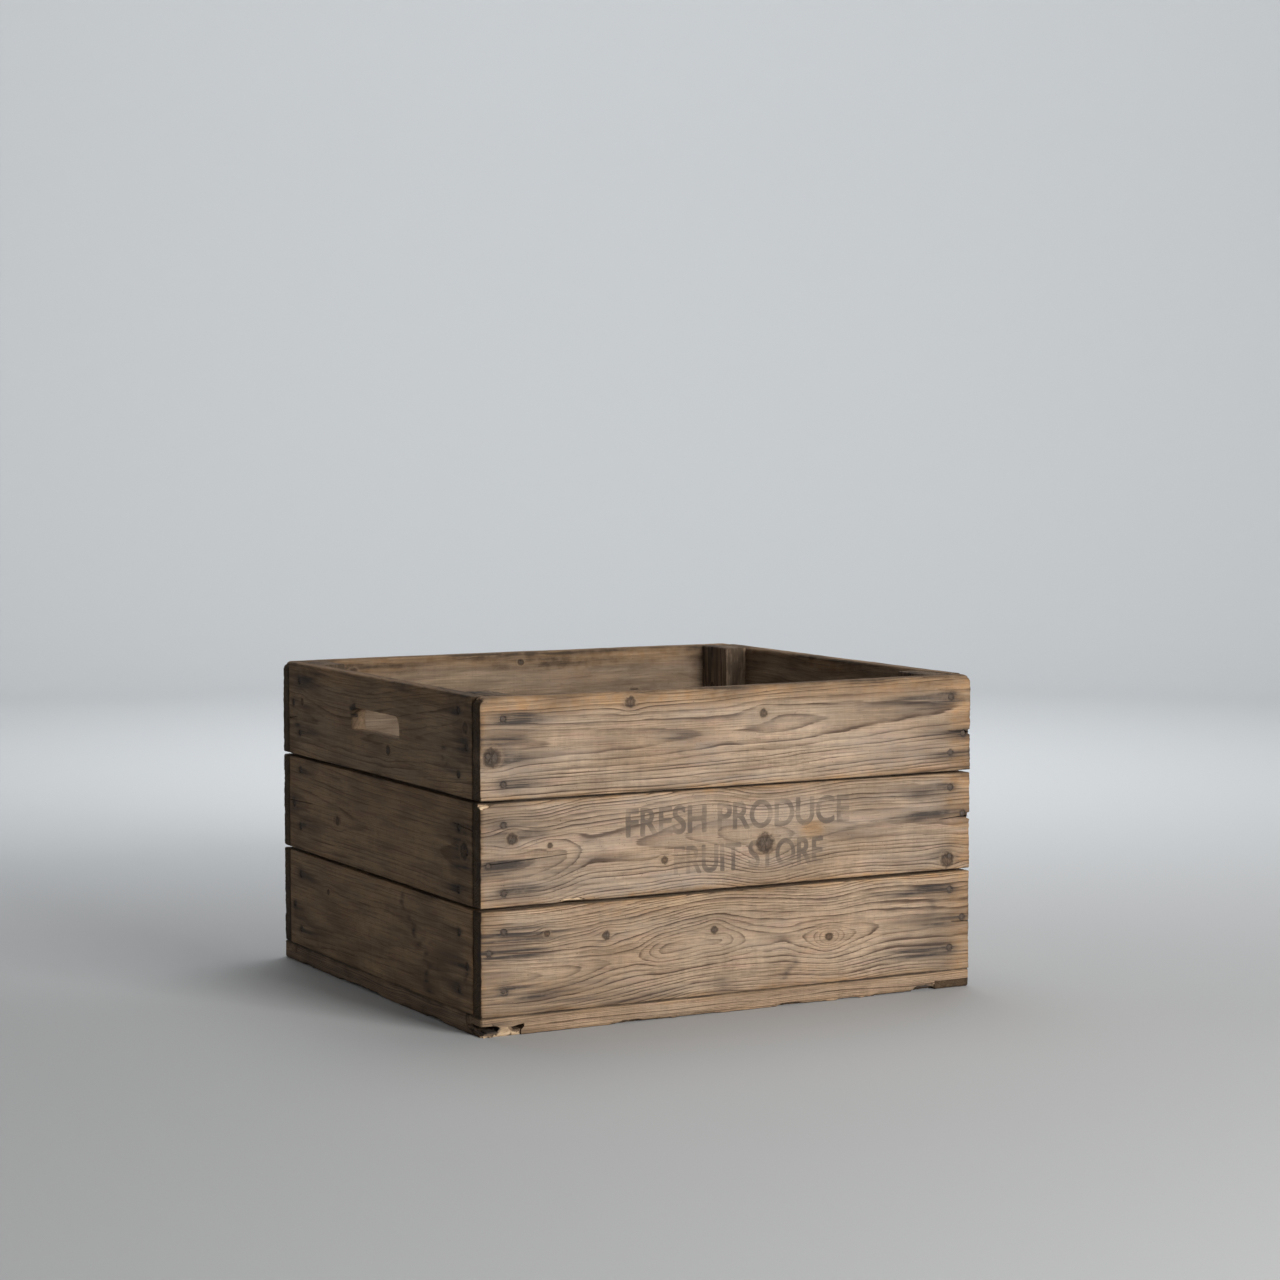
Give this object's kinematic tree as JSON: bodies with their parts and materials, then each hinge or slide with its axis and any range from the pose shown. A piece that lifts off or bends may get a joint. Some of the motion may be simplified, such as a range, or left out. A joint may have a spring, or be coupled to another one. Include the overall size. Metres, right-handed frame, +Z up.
{
  "type": "nailed wooden crate",
  "caption": "Open-topped nailed wooden crate: slatted board walls on corner posts, a board floor on a half-lapped base frame, and a hand slot in each short side.",
  "frame": {"origin": "middle of the crate's footprint, on the ground", "axes": "+X along the longer side, towards the right of the front; +Y from front to back; +Z up"},
  "size_m": [0.5, 0.445, 0.29],
  "materials": {
    "wall_boards": "weathered, unfinished sawn softwood, rubbed at the edges",
    "posts": "sawn softwood, darkened",
    "floor_boards": "worn sawn softwood",
    "base_frame": "sawn softwood, dirt-stained",
    "nails": "rusted dull iron"
  },
  "bodies": {
    "root": {"board_front_lower": "wall_boards", "board_front_middle": "wall_boards", "board_front_top": "wall_boards", "board_back_lower": "wall_boards", "board_back_middle": "wall_boards", "board_back_top": "wall_boards", "board_left_lower": "wall_boards", "board_left_middle": "wall_boards", "board_left_top": "wall_boards", "board_right_lower": "wall_boards", "board_right_middle": "wall_boards", "board_right_top": "wall_boards", "post_front_left": "posts", "post_front_right": "posts", "post_back_left": "posts", "post_back_right": "posts", "floor_board_1": "floor_boards", "floor_board_2": "floor_boards", "floor_board_3": "floor_boards", "floor_board_4": "floor_boards", "floor_board_5": "floor_boards", "base_strip_front": "base_frame", "base_strip_back": "base_frame", "base_runner_left": "base_frame", "base_runner_right": "base_frame", "nails_front": "nails", "nails_back": "nails", "nails_left": "nails", "nails_right": "nails", "nails_floor": "nails", "nails_base": "nails"}
  },
  "joints": []
}
